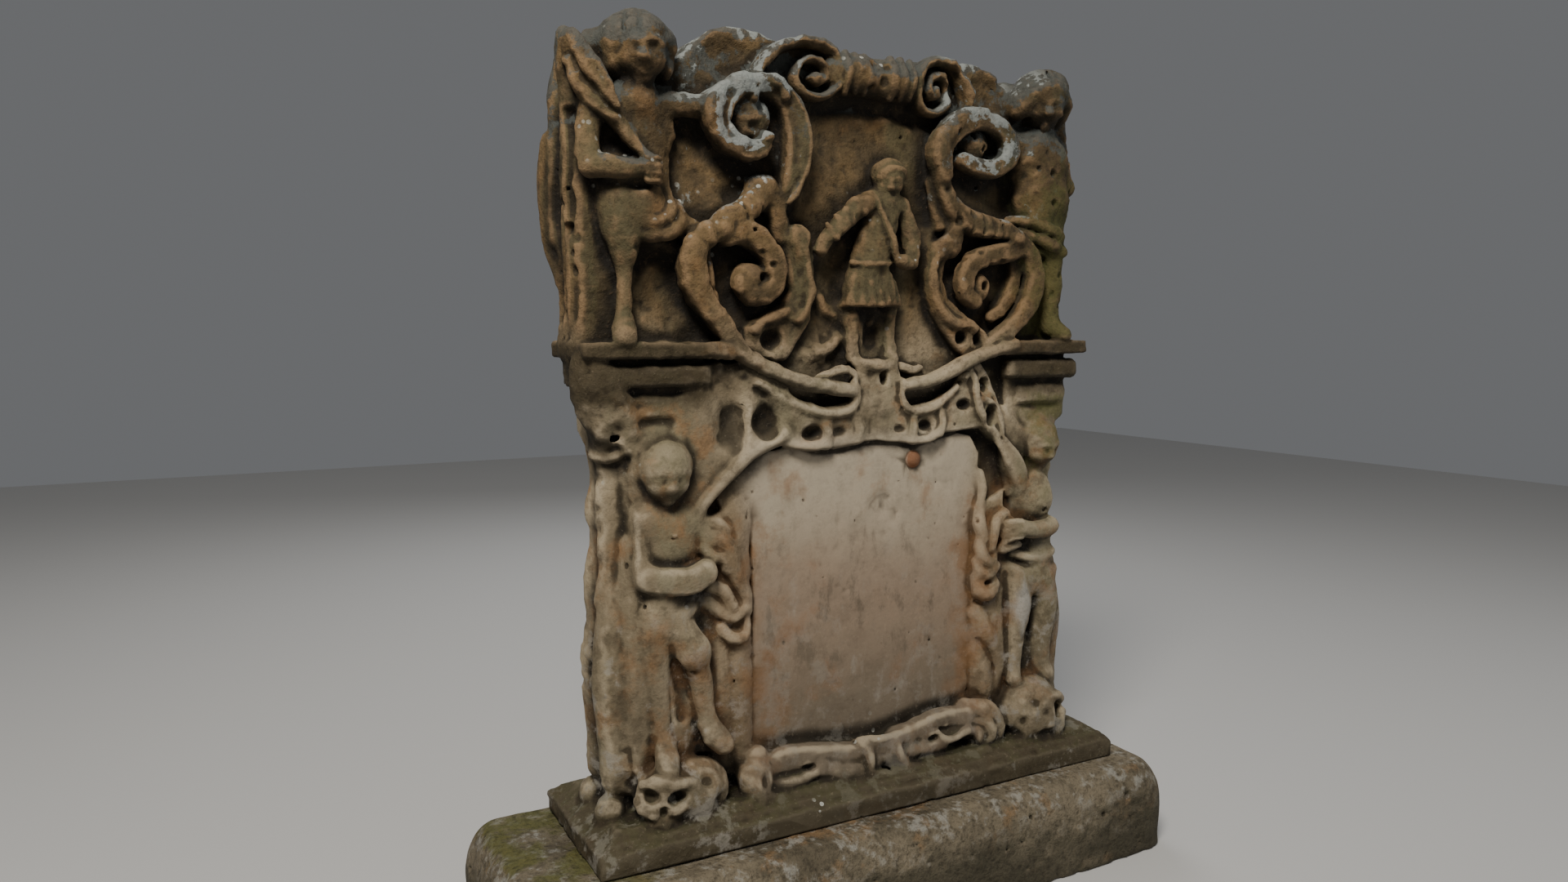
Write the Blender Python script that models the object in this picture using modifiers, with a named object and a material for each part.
"""A carved sandstone headstone on its plinth, two blocks of stone, in metres with +Z up.

The origin is at the middle of the plinth's underside, and the carved face looks towards -Y.

The headstone is one block. Its foot, ledges, slab and carving are first made as plain closed
shapes, then fused by a voxel remesh, softened as weather softens stone, and lightened. The carving
is drawn on a grid of centimetres laid over the stone's face, so it stretches with the stone.
"""
from math import cos, pi, radians, sin

import bmesh
import bpy
from mathutils import Matrix, Vector

# Sizes of the headstone.
STONE_WIDTH = 0.898
STONE_HEIGHT = 1.175
LEDGE_TOP = 0.727
LEDGE_THICKNESS = 0.020
LEDGE_REACH = 0.040
CAP_STEP = 0.012
CAP_COURSE = 0.026
SLAB_THICKNESS = 0.076
SIDE_THICKNESS = 0.110
SIDE_STRIP = 0.022

# The inscription panel.
PANEL_WIDTH = 0.41
PANEL_TOP = 0.575
PANEL_RISE = 0.016
PANEL_BORDER = 0.10

# The moulded foot, cut on the same block.
FOOT_WIDTH = 0.932
FOOT_DEPTH = 0.258
FOOT_FASCIA = 0.030
FOOT_HEIGHT = 0.052
FOOT_SLOPE = 0.034
FOOT_CORNER = 0.012

# The plinth: how far it reaches past the foot on each side, and its height.
MARGIN_LEFT = 0.134
MARGIN_RIGHT = 0.080
MARGIN_FRONT = 0.075
MARGIN_BACK = 0.055
PLINTH_HEIGHT = 0.150
PLINTH_EDGE = 0.078
PLINTH_CORNER = 0.050
PLINTH_TOP_CORNER = 0.020
SEAT_GAP = 0.0003

# What wear has taken from the top of the plinth's sides and ends, as shares of the margins there.
SIDE_WEAR = 0.8
END_WEAR = 0.5

# How finely the carving is fused and how much of its surface is kept.
VOXEL = 0.006
SOFTENING = 3
KEPT_SHARE = 0.034

# The drawing's grid, in centimetres: the stone's width, its ledge and its top. The ledges, the
# slab above them and the shaft below reach out unequally from the drawing's middle line.
GRID_WIDTH = 89.8
GRID_LEDGE = 72.7
GRID_TOP = 117.5
FRONT, BACK = -1, 1
LEFT, RIGHT = -1, 1
LEDGE_END = {LEFT: 46.5, RIGHT: 43.3}
LEDGE_INNER = 25.0
SLAB_END = {LEFT: 45.7, RIGHT: 40.5}
SLAB_SHOULDER = {LEFT: 98.0, RIGHT: 107.0}
SLAB_ROOT = 6.0
SHAFT_END = {LEFT: 41.8, RIGHT: 39.8}
NECK_REACH = 0.5

# The raised strips at the side faces: where the upper one ends, and the lower one's ends and depth.
STRIP_TOP = 101.0
SHAFT_STRIP = (36.0, 60.0)
SHAFT_STRIP_SHARE = 0.7

PLINTH_WIDTH = FOOT_WIDTH + MARGIN_LEFT + MARGIN_RIGHT
PLINTH_DEPTH = FOOT_DEPTH + MARGIN_FRONT + MARGIN_BACK
STONE_PLACE = Vector(((MARGIN_LEFT - MARGIN_RIGHT) / 2, (MARGIN_FRONT - MARGIN_BACK) / 2,
                      PLINTH_HEIGHT + SEAT_GAP))
FIELD = SLAB_THICKNESS / 2
GRID_STEP = STONE_WIDTH / GRID_WIDTH


def clear_scene():
    for obj in list(bpy.data.objects):
        bpy.data.objects.remove(obj, do_unlink=True)


def new_collection(name):
    collection = bpy.data.collections.new(name)
    bpy.context.scene.collection.children.link(collection)
    return collection


def stone_material(name, colour, roughness):
    material = bpy.data.materials.new(name)
    material.use_nodes = True
    shader = material.node_tree.nodes["Principled BSDF"]
    shader.inputs["Base Color"].default_value = (*colour, 1)
    shader.inputs["Roughness"].default_value = roughness
    shader.inputs["Metallic"].default_value = 0
    return material


def grid_height(z):
    """The height on the stone of a line of the drawing. Each stage stretches by itself."""
    if z <= GRID_LEDGE:
        return z * LEDGE_TOP / GRID_LEDGE
    return LEDGE_TOP + (z - GRID_LEDGE) * (STONE_HEIGHT - LEDGE_TOP) / (GRID_TOP - GRID_LEDGE)


def spot(x, z, rise, face=FRONT):
    """A point of the drawing on the stone. Rise is how far it stands proud of the slab's face."""
    return Vector((x * GRID_STEP, face * (FIELD + rise * GRID_STEP), grid_height(z)))


class Carving:
    """Collects closed shapes in one mesh, and curves that join it once they are all drawn."""

    def __init__(self):
        self.mesh = bmesh.new()
        self.curves = []

    def block(self, x0, x1, reach, z0, z1):
        """A box between two lines across and two heights, reaching equally to front and back."""
        middle = Vector(((x0 + x1) / 2, 0, (z0 + z1) / 2))
        size = (abs(x1 - x0), 2 * reach, abs(z1 - z0))
        matrix = Matrix.Translation(middle) @ Matrix.Diagonal((*size, 1))
        bmesh.ops.create_cube(self.mesh, size=1, matrix=matrix)

    def ball(self, x, z, rise, wide, high, deep, tilt=0, face=FRONT):
        """An egg shape, its three half sizes in grid units, turned in the plane of the face."""
        size = Matrix.Diagonal((wide * GRID_STEP, deep * GRID_STEP, high * GRID_STEP, 1))
        turn = Matrix.Rotation(radians(tilt), 4, "Y")
        matrix = Matrix.Translation(spot(x, z, rise, face)) @ turn @ size
        bmesh.ops.create_uvsphere(self.mesh, u_segments=18, v_segments=12, radius=1, matrix=matrix)

    def bar(self, points, deep=1.0, face=FRONT, side=RIGHT, rise=None):
        """A tapering bar through points (x, z, rise, radius), or (x, z, radius) at one rise.

        Deep is its half depth, measured against its half width.
        """
        data = bpy.data.curves.new("bar", "CURVE")
        data.dimensions = "3D"
        data.resolution_u = 4
        data.bevel_depth = 1
        data.bevel_resolution = 3
        data.use_fill_caps = True
        spline = data.splines.new("BEZIER")
        spline.bezier_points.add(len(points) - 1)
        for knot, point in zip(spline.bezier_points, points):
            x, z, radius = point[0], point[1], point[-1]
            height = point[2] if rise is None else rise
            place = spot(side * x, z, height, face)
            knot.co = (place.x, place.y / deep, place.z)
            knot.radius = radius * GRID_STEP
            knot.handle_left_type = knot.handle_right_type = "AUTO"
        obj = bpy.data.objects.new("bar", data)
        obj.scale.y = deep
        bpy.context.scene.collection.objects.link(obj)
        self.curves.append(obj)

    def plate(self, outline, thickness):
        """A flat shape of the drawing, cut through the stone's thickness."""
        data = bpy.data.curves.new("plate", "CURVE")
        data.dimensions = "2D"
        data.fill_mode = "BOTH"
        data.extrude = thickness / 2
        spline = data.splines.new("POLY")
        spline.points.add(len(outline) - 1)
        for knot, (x, z) in zip(spline.points, outline):
            knot.co = (x * GRID_STEP, grid_height(z), 0, 1)
        spline.use_cyclic_u = True
        obj = bpy.data.objects.new("plate", data)
        obj.rotation_euler.x = pi / 2
        bpy.context.scene.collection.objects.link(obj)
        self.curves.append(obj)

    def gather(self):
        """Turns the curves to meshes, closes their caps and adds them."""
        bpy.context.view_layer.update()
        graph = bpy.context.evaluated_depsgraph_get()
        for obj in self.curves:
            mesh = bpy.data.meshes.new_from_object(obj.evaluated_get(graph))
            piece = bmesh.new()
            piece.from_mesh(mesh)
            bmesh.ops.remove_doubles(piece, verts=piece.verts, dist=1e-5)
            piece.transform(obj.matrix_world)
            piece.to_mesh(mesh)
            piece.free()
            self.mesh.from_mesh(mesh)
            bpy.data.meshes.remove(mesh)
        for obj in self.curves:
            data = obj.data
            bpy.data.objects.remove(obj)
            bpy.data.curves.remove(data)
        self.curves.clear()

    def finished(self, name, collection):
        self.gather()
        mesh = bpy.data.meshes.new(name)
        self.mesh.to_mesh(mesh)
        self.mesh.free()
        obj = bpy.data.objects.new(name, mesh)
        collection.objects.link(obj)
        return obj


def rounded_rectangle(width, depth, corner, steps=4):
    """The corner points of a rectangle with round corners, anticlockwise."""
    points = []
    for quarter, (sx, sy) in enumerate(((1, 1), (-1, 1), (-1, -1), (1, -1))):
        for step in range(steps + 1):
            angle = (quarter + step / steps) * pi / 2
            points.append((sx * (width / 2 - corner) + corner * cos(angle),
                           sy * (depth / 2 - corner) + corner * sin(angle)))
    return points


def loft(mesh, sections):
    """A closed block through level sections: (height, width, depth, corner radius)."""
    rings = []
    for height, width, depth, corner in sections:
        rings.append([mesh.verts.new((x, y, height))
                      for x, y in rounded_rectangle(width, depth, corner)])
    mesh.faces.new(reversed(rings[0]))
    for lower, upper in zip(rings, rings[1:]):
        for i, vertex in enumerate(lower):
            after = (i + 1) % len(lower)
            mesh.faces.new((vertex, lower[after], upper[after], upper[i]))
    mesh.faces.new(rings[-1])


def spiral(x, z, start, end, first, last, thick, steps=12, taper=0.35):
    """Bar points on a spiral about (x, z), from one radius and angle to another, thinning inward."""
    points = []
    for step in range(steps + 1):
        share = step / steps
        reach = start + (end - start) * share
        angle = radians(first + (last - first) * share)
        radius = thick * (1 - taper * share)
        points.append((x + reach * cos(angle), z + reach * sin(angle), radius))
    return points


def add_slab(stone):
    """The upper slab with its humped top, the narrower shaft, and the strips at their sides."""
    humps = [(-44, 109), (-32, 110.5), (-29, 113.5), (-26, 116.2), (-22.5, 117.4), (-18, 117),
             (-14, 115.5), (14, 115.5), (17, 116.6), (21, 117), (25, 116), (28, 113.4), (30, 109.5)]
    left, right = -SLAB_END[LEFT], SLAB_END[RIGHT]
    root = GRID_LEDGE - SLAB_ROOT
    stone.plate([(left, root), (left, SLAB_SHOULDER[LEFT]), *humps, (right - 1, SLAB_SHOULDER[RIGHT]),
                 (right, root)], SLAB_THICKNESS)
    for side in (LEFT, RIGHT):
        outer = side * SLAB_END[side] * GRID_STEP
        stone.block(outer, outer - side * SIDE_STRIP, SIDE_THICKNESS / 2,
                    LEDGE_TOP - LEDGE_THICKNESS, grid_height(STRIP_TOP))
        shaft = side * SHAFT_END[side] * GRID_STEP
        stone.block(0, shaft, FIELD, 0, LEDGE_TOP)
        stone.block(shaft - side * SIDE_STRIP, shaft + side * SIDE_STRIP / 2,
                    SHAFT_STRIP_SHARE * FIELD, *map(grid_height, SHAFT_STRIP))
    border = PANEL_WIDTH / 2 + PANEL_BORDER
    stone.block(-border, border, FIELD + PANEL_RISE, 0, PANEL_TOP + PANEL_BORDER / 2)


def add_ledges(stone):
    """On each side a ledge, two stepped courses under it, and the neck of the shaft."""
    for side in (LEFT, RIGHT):
        inner = side * LEDGE_INNER * GRID_STEP
        outer = side * LEDGE_END[side] * GRID_STEP
        neck = side * (SHAFT_END[side] + NECK_REACH) * GRID_STEP
        reach = FIELD + LEDGE_REACH
        low = LEDGE_TOP - LEDGE_THICKNESS
        stone.block(inner, outer, reach, low, LEDGE_TOP)
        for course in (1, 2):
            reach -= CAP_STEP
            stone.block(inner + side * 2 * course * CAP_STEP, outer - side * course * CAP_STEP,
                        reach, low - CAP_COURSE, low)
            low -= CAP_COURSE
        reach -= CAP_STEP / 2
        stone.block(inner + side * 4 * CAP_STEP, neck, reach, low - 2 * CAP_COURSE, low)


def add_foot(stone):
    loft(stone.mesh, [(-FOOT_FASCIA, FOOT_WIDTH, FOOT_DEPTH, FOOT_CORNER),
                      (FOOT_FASCIA, FOOT_WIDTH, FOOT_DEPTH, FOOT_CORNER),
                      (FOOT_HEIGHT, FOOT_WIDTH - 2 * FOOT_SLOPE, FOOT_DEPTH - 2 * FOOT_SLOPE,
                       FOOT_CORNER)])


def add_angel(stone, side, face, inward=0.0):
    """A standing winged figure above the ledge, one arm across its waist and one to the scroll."""

    def bar(*points, deep=1.0):
        stone.bar([(x - inward, *rest) for x, *rest in points], deep, face, side)

    def ball(x, *rest, tilt=0):
        stone.ball(side * (x - inward), *rest, tilt=side * tilt, face=face)

    ball(37.0, 111.8, 1.4, 4.6, 5.0, 4.4)
    ball(37.2, 113.6, 0.8, 5.2, 3.6, 4.6)
    bar((37.2, 108, 1.0, 2.0), (37.4, 104, 1.0, 2.6))
    ball(37.4, 101, 0.4, 6.2, 5.2, 3.2)
    ball(37.2, 95.6, 0.4, 4.9, 5.0, 3.0)
    ball(38, 91.4, 0.4, 4.6, 3.8, 3.2)
    bar((42.2, 104, 0.8, 2.3), (43.3, 100.4, 1.2, 2.1), (43, 97.4, 2.0, 2.0), (40, 96.9, 3.2, 1.8),
        (36, 96.8, 3.2, 1.9))
    bar((33.4, 103.8, 0.8, 2.2), (31, 104.6, 1.0, 1.9), (27.6, 104.4, 1.4, 1.8))
    bar((42.2, 93, 1.4, 1.8), (39, 91.6, 2.2, 2.2), (35.5, 89.6, 2.0, 2.2), (32.6, 89.4, 1.4, 1.9))
    bar((39.6, 91, 0.8, 3.2), (39, 86.5, 1.0, 2.8), (38.9, 82, 1.0, 1.9), (39.2, 77.4, 1.2, 1.5),
        (39.4, 74, 1.4, 1.4))
    ball(39.2, 73.9, 2.2, 1.9, 1.5, 2.4)
    bar((35.6, 90.6, 0.8, 2.8), (32.8, 88, 1.0, 2.2), (30.4, 86.6, 0.8, 1.6))
    bar((44.0, 112.2, -0.6, 2.3), (44.2, 107, -0.4, 2.4), (44.2, 101, -0.4, 2.0),
        (44.4, 94, -0.6, 1.4))


def add_staff(stone):
    """The thick tapering staff of the left figure, from its knob down to the hand."""
    stone.bar([(46.2, 112.6, 1.6, 2.1), (44, 109.2, 2.2, 1.7), (41.2, 105.4, 3.0, 1.9),
               (39.2, 102.4, 3.4, 1.3), (35.4, 97, 3.6, 0.9)], side=LEFT)


def add_scrolls(stone, side, face, shift=0.0, rise=1.9):
    """The two curling scrolls beside the middle field: a hooked ring above, a C-scroll below."""

    def bar(points, deep, lift=0.0):
        stone.bar([(x - shift, *rest) for x, *rest in points], deep, face, side, rise + lift)

    bar([(15.8, 91.5, 1.3), (13.6, 95.6, 1.6), (12.6, 100, 1.7), (13.2, 105.4, 1.8),
         (16.4, 109.2, 1.8), (20.5, 110.6, 1.7)], 1.5)
    bar(spiral(22.9, 104.2, 6.2, 5.2, -130, -420, 2.3, 10), 1.4, 0.4)
    stone.ball(side * (21.8 - shift), 104.4, 0.6, 1.7, 1.9, 1.6, face=face)
    bar([(18.4, 95.6, 1.9), (21.2, 93.6, 2.3), (24.4, 91.2, 2.1), (27.4, 88.8, 1.7)], 1.3)
    bar([(3.8, 65.2, 1.3), (10.2, 65.8, 1.4), (16.5, 67.4, 1.5), (21.5, 69.8, 1.5), (25.8, 72.4, 1.5),
         (29.2, 75.4, 1.6), (31, 79.5, 1.7), (31, 83.8, 1.8), (29, 87.2, 1.9), (25.6, 88.4, 2.0),
         (21.6, 87.4, 1.7), (18.2, 84.8, 1.5), (16.9, 81.4, 1.3)], 1.5)
    bar(spiral(21, 81.4, 3.6, 1.2, -160, 160, 1.3, 8), 1.4, -0.4)
    bar([(12.9, 86.6, 2.0), (11.9, 83, 2.4), (11.7, 79, 2.8), (13.2, 75.4, 2.6), (15.6, 72.2, 1.9),
         (17, 70.2, 1.1)], 0.9, -0.4)
    bar(spiral(17.6, 73.4, 2.9, 2.4, 30, 300, 1.0, 6), 1.3, -0.4)


def add_cartouche(stone, face):
    """The rolled scroll on top: two volutes seen end on, with a fluted roll between them."""
    for side, x, z, reach in ((LEFT, 9.9, 110.8, 6.0), (RIGHT, 10.9, 111.2, 4.9)):
        hood = spiral(x, z - 0.4, reach, reach, -10, 165, 1.1, 8)
        stone.bar(hood, 2.6, face, side, rise=2.0)
        stone.bar(spiral(x, z, 0.72 * reach, 1.0, 150, -330, 1.2, 12), 1.7, face, side, rise=2.2)
        stone.ball(side * x, z, 0.6, 0.8 * reach, 0.8 * reach, 2.2, face=face)
    stone.bar([(-6, 112.6, 1.4, 3.6), (0, 112.8, 1.0, 3.5), (6.4, 112.8, 1.4, 3.5)], face=face)
    for x in (-5.2, -2.6, 2.8, 5.6):
        stone.bar([(x, 109.6, 2.0, 1.1), (x, 113.4, 3.4, 1.2), (x, 116.4, 2.2, 1.1)], face=face)


def add_small_figure(stone):
    """The figure in the middle field, in a belted coat with a full skirt."""
    stone.ball(3.8, 97.5, 2.2, 3.1, 3.3, 2.9)
    stone.bar([(-0.4, 94.2, 1.8, 1.9), (3.2, 94.4, 1.8, 2.0), (6.0, 93.6, 1.8, 1.8)])
    stone.bar([(2.9, 93, 1.6, 3.2), (2.0, 88.5, 1.6, 3.0), (1.2, 84.8, 1.8, 2.9)], deep=0.9)
    stone.bar([(1.2, 84.4, 1.8, 3.5), (1.4, 81, 1.8, 4.7), (1.4, 79.4, 1.6, 5.0)], deep=0.6)
    stone.bar([(-0.6, 93.8, 1.6, 1.6), (-4.3, 90.8, 1.6, 1.4), (-7.8, 87.4, 1.4, 1.3)], deep=1.3)
    stone.ball(-8.2, 87.1, 1.2, 1.6, 1.3, 1.3)
    stone.bar([(6.1, 93.2, 1.6, 1.6), (7.4, 88.8, 1.8, 1.6), (6.2, 84.6, 2.8, 1.4)], deep=1.2)
    for x in (-1.2, 3.2):
        stone.bar([(x, 79, 1.2, 1.9), (x, 74, 1.0, 1.5), (x - 0.4, 68.5, 1.2, 1.5)], deep=1.2)
    stone.ball(0.6, 66.4, 1.6, 4.8, 3.2, 2.8)


def add_band(stone, face):
    """The arched moulding and the leafy band over the panel, with the loops in its spandrels."""
    for side in (LEFT, RIGHT):
        stone.bar([(30.9, 47.6, 1.0), (29.6, 50.8, 1.2), (26.6, 54.0, 1.3), (23, 56.4, 1.4),
                   (19.8, 58.0, 1.6), (15, 60, 1.9), (9, 59.8, 1.8), (4, 58.8, 1.6), (0, 59, 1.6)],
                  1.3, face, side, rise=2.0)
        stone.bar([(28.2, 55.4, 1.0), (29.2, 60, 1.1), (28.2, 65, 1.3), (24.6, 67.2, 1.3),
                   (21.8, 64.6, 1.2), (21.4, 60.4, 1.2)], 1.3, face, side, rise=1.8)
        stone.bar([(21.4, 66, 1.2), (18.4, 65.2, 1.2), (15.6, 63, 1.3), (10.6, 62.4, 1.2),
                   (5.4, 62.4, 1.3), (3, 64.6, 1.2)], 1.3, face, side, rise=1.9)
        for x, z in ((12.4, 58.2), (5.2, 57.6)):
            stone.ball(side * x, z, 1.8, 2.6, 1.6, 1.6, face=face)


def add_putto(stone, side, inward=0.0, lift=0.0):
    """A figure on a skull beside the panel, one leg bent, both hands on the drapery.

    Lift raises its forearm.
    """

    def bar(*points, deep=1.0):
        stone.bar([(x - inward, *rest) for x, *rest in points], deep, FRONT, side)

    def ball(x, *rest, tilt=0):
        stone.ball(side * (x - inward), *rest, tilt=side * tilt)

    ball(34, 56.4, 1.8, 3.6, 4.8, 4.0)
    bar((34.6, 51.6, 1.2, 1.8), (35.4, 48.8, 1.2, 2.4), deep=1.2)
    bar((38.8, 47.6, 1.0, 2.3), (35, 47.8, 1.4, 2.8), (32.2, 46.8, 1.2, 2.3), deep=1.2)
    ball(35.2, 44.4, 1.2, 4.7, 5.4, 3.4)
    ball(33.8, 39.4, 1.4, 4.2, 4.8, 3.4)
    ball(33.8, 34.4, 1.4, 4.4, 4.4, 3.4)
    bar((38.6, 47.2, 1.2, 2.0), (37.8, 43.4 + lift / 2, 1.8, 2.0), (36, 40.2 + lift, 3.0, 2.0),
        (32, 39.2 + lift, 4.0, 2.0), (27.6, 40 + lift, 3.8, 1.9), deep=1.1)
    ball(27.6, 41.8 + lift / 2, 3.0, 1.9, 1.9, 1.8)
    bar((31.8, 46, 1.6, 1.8), (29.6, 44.4, 2.2, 1.7), (28, 42.6, 2.6, 1.6), deep=1.2)
    bar((36.2, 32.4, 1.2, 3.2), (36.2, 27, 1.3, 2.7), (35.8, 22, 1.4, 2.2), (35.2, 17, 1.8, 1.7),
        (34.8, 13.6, 2.4, 1.7), deep=1.2)
    ball(34.6, 12.8, 3.4, 1.8, 1.6, 2.4)
    bar((32.4, 33, 1.6, 2.8), (29.6, 30.2, 2.8, 2.8), (28.6, 28, 3.0, 2.6), (28.4, 22, 2.0, 2.1),
        (27.6, 17, 2.0, 1.8), (26.8, 15, 2.6, 1.7), deep=1.2)
    ball(26.4, 14.4, 3.2, 1.6, 1.8, 2.0)


def add_drapery(stone, side):
    """The cloth that hangs from the hands beside the panel, with its folds and rolled ends."""
    folds = (((28, 50, 1.2, 1.4), (25.8, 44, 2.0, 1.6), (23.6, 38, 2.2, 1.6), (22.4, 33, 2.0, 1.5)),
             ((24.4, 49, 1.2, 1.2), (22.8, 44.5, 1.6, 1.3), (21.9, 41, 1.6, 1.3)),
             ((27.4, 38.6, 2.2, 1.5), (26, 34.6, 2.4, 1.4), (24.2, 31.6, 2.4, 1.4)),
             ((25.6, 28, 1.2, 1.7), (24.4, 22, 1.2, 1.8), (23.6, 15, 1.2, 1.8), (22.8, 9.6, 1.0, 1.7)),
             ((22.2, 27.6, 1.2, 1.2), (21.8, 20, 1.2, 1.2), (21.6, 12, 1.0, 1.2)))
    for fold in folds:
        stone.bar(fold, 1.3, FRONT, side)
    stone.ball(side * 23.3, 30.2, 2.0, 2.6, 2.0, 1.8)


def add_skull(stone, side):
    """A skull under the standing figure's foot, its jaw on the moulded foot of the stone."""
    stone.ball(side * 33.2, 7.8, 3.0, 6.3, 5.2, 4.6)
    stone.ball(side * 34.4, 4.2, 3.6, 3.9, 2.6, 3.0)


def add_bones(stone):
    """The knotted band of cloth and bones along the foot, under the panel."""
    for side in (LEFT, RIGHT):
        stone.bar([(0, 6.6, 2.2, 2.0), (7, 7.6, 2.4, 2.3), (14, 7.2, 2.4, 2.0), (20, 6.6, 2.6, 2.0)],
                  1.3, FRONT, side)
        stone.bar([(1.6, 5.0, 2.6, 1.3), (6.5, 4.6, 2.8, 1.4), (12, 4.8, 2.8, 1.2)], 1.2, FRONT, side)
        stone.ball(side * 22.0, 6.6, 2.6, 3.2, 3.6, 3.0)
    stone.ball(0.6, 6.4, 2.8, 2.4, 3.2, 2.0)


def add_corner_shaft(stone, side, face):
    """The smooth bulging corner below the side strip, with a knob at the foot."""
    inward = SHAFT_END[LEFT] - SHAFT_END[side]
    stone.bar([(40.4 - inward, SHAFT_STRIP[0], -2.4, 1.4), (40.9 - inward, 30, -2.2, 2.4),
               (40.9 - inward, 24, -2.0, 2.8), (40.5 - inward, 17, -2.0, 2.6),
               (40.7 - inward, 11, -1.8, 2.4)], 1.0, face, side)
    stone.ball(side * (41.4 - inward), 6.6, -0.6, 2.6, 3.6, 2.6, face=face)


def cutter_object(name, mesh, collection):
    data = bpy.data.meshes.new(name)
    mesh.to_mesh(data)
    mesh.free()
    obj = bpy.data.objects.new(name, data)
    obj.hide_render = True
    obj.display_type = "WIRE"
    obj.location = STONE_PLACE
    collection.objects.link(obj)
    return obj


def hollow_cutter(collection):
    """The deep hollows: the skulls' eyes, the drops in the spandrels and the eyes of the leaves."""
    mesh = bmesh.new()
    hollows = ((24.8, 60.6, 2.4, 2.0, 3.2, 1.4), (36.6, 8.0, 7.4, 1.5, 1.2, 2.2),
               (31.9, 7.8, 7.6, 1.4, 1.2, 2.2), (17.6, 73.4, 2.6, 1.1, 1.1, 1.6))
    for side in (LEFT, RIGHT):
        for x, z, rise, wide, high, deep in hollows:
            size = Matrix.Diagonal((wide * GRID_STEP, deep * GRID_STEP, high * GRID_STEP, 1))
            matrix = Matrix.Translation(spot(side * x, z, rise)) @ size
            bmesh.ops.create_uvsphere(mesh, u_segments=10, v_segments=6, radius=1, matrix=matrix)
    return cutter_object("hollows", mesh, collection)


def below_cutter(collection):
    """All that the fused stone has under its bed, which is cut flat."""
    mesh = bmesh.new()
    size = Matrix.Diagonal((2 * FOOT_WIDTH, 2 * FOOT_DEPTH, 2 * FOOT_FASCIA, 1))
    matrix = Matrix.Translation((0, 0, -FOOT_FASCIA)) @ size
    bmesh.ops.create_cube(mesh, size=1, matrix=matrix)
    return cutter_object("below bed", mesh, collection)


def make_headstone(collection, cutters):
    stone = Carving()
    add_slab(stone)
    add_ledges(stone)
    add_foot(stone)
    add_angel(stone, LEFT, FRONT)
    add_angel(stone, RIGHT, FRONT, inward=3.2)
    add_staff(stone)
    add_scrolls(stone, LEFT, FRONT)
    add_scrolls(stone, RIGHT, FRONT, shift=0.8)
    add_cartouche(stone, FRONT)
    add_small_figure(stone)
    add_band(stone, FRONT)
    add_putto(stone, LEFT)
    add_putto(stone, RIGHT, inward=0.6, lift=2.8)
    add_bones(stone)
    for side in (LEFT, RIGHT):
        add_drapery(stone, side)
        add_skull(stone, side)
        add_corner_shaft(stone, side, FRONT)
        add_corner_shaft(stone, side, BACK)
        add_angel(stone, side, BACK, inward=3.2 if side == RIGHT else 0)
        add_scrolls(stone, side, BACK, rise=1.2)
    add_cartouche(stone, BACK)
    add_band(stone, BACK)
    headstone = stone.finished("headstone", collection)
    headstone.location = STONE_PLACE

    fuse = headstone.modifiers.new("fuse", "REMESH")
    fuse.mode = "VOXEL"
    fuse.voxel_size = VOXEL
    soften = headstone.modifiers.new("soften", "SMOOTH")
    soften.factor = 0.5
    soften.iterations = SOFTENING
    lighten = headstone.modifiers.new("lighten", "DECIMATE")
    lighten.ratio = KEPT_SHARE
    for cutter in (below_cutter(cutters), hollow_cutter(cutters)):
        cut = headstone.modifiers.new(cutter.name, "BOOLEAN")
        cut.operation = "DIFFERENCE"
        cut.object = cutter
    headstone.data.materials.append(stone_material("carved sandstone", (0.36, 0.27, 0.18), 0.9))
    return headstone


def make_plinth(collection, steps=5):
    """A low block whose long top edges are worn to a deep round, and its ends to a smaller one."""
    mesh = bmesh.new()
    end_loss = 2 * END_WEAR * min(MARGIN_LEFT, MARGIN_RIGHT)
    side_loss = 2 * SIDE_WEAR * min(MARGIN_FRONT, MARGIN_BACK)
    corner_loss = PLINTH_CORNER - PLINTH_TOP_CORNER
    sections = [(0.0, PLINTH_WIDTH, PLINTH_DEPTH, PLINTH_CORNER)]
    for step in range(steps + 1):
        angle = step / steps * pi / 2
        worn = 1 - cos(angle)
        height = PLINTH_HEIGHT - PLINTH_EDGE * (1 - sin(angle))
        sections.append((height, PLINTH_WIDTH - end_loss * worn, PLINTH_DEPTH - side_loss * worn,
                         PLINTH_CORNER - corner_loss * worn))
    loft(mesh, sections)
    bmesh.ops.recalc_face_normals(mesh, faces=mesh.faces)
    data = bpy.data.meshes.new("plinth")
    mesh.to_mesh(data)
    mesh.free()
    plinth = bpy.data.objects.new("plinth", data)
    collection.objects.link(plinth)
    plinth.data.shade_smooth()
    plinth.data.set_sharp_from_angle(angle=radians(40))
    plinth.data.materials.append(stone_material("plinth sandstone", (0.30, 0.27, 0.22), 0.92))
    return plinth


def main():
    clear_scene()
    parts = new_collection("headstone on plinth")
    cutters = new_collection("cutters")
    make_plinth(parts)
    make_headstone(parts, cutters)


main()
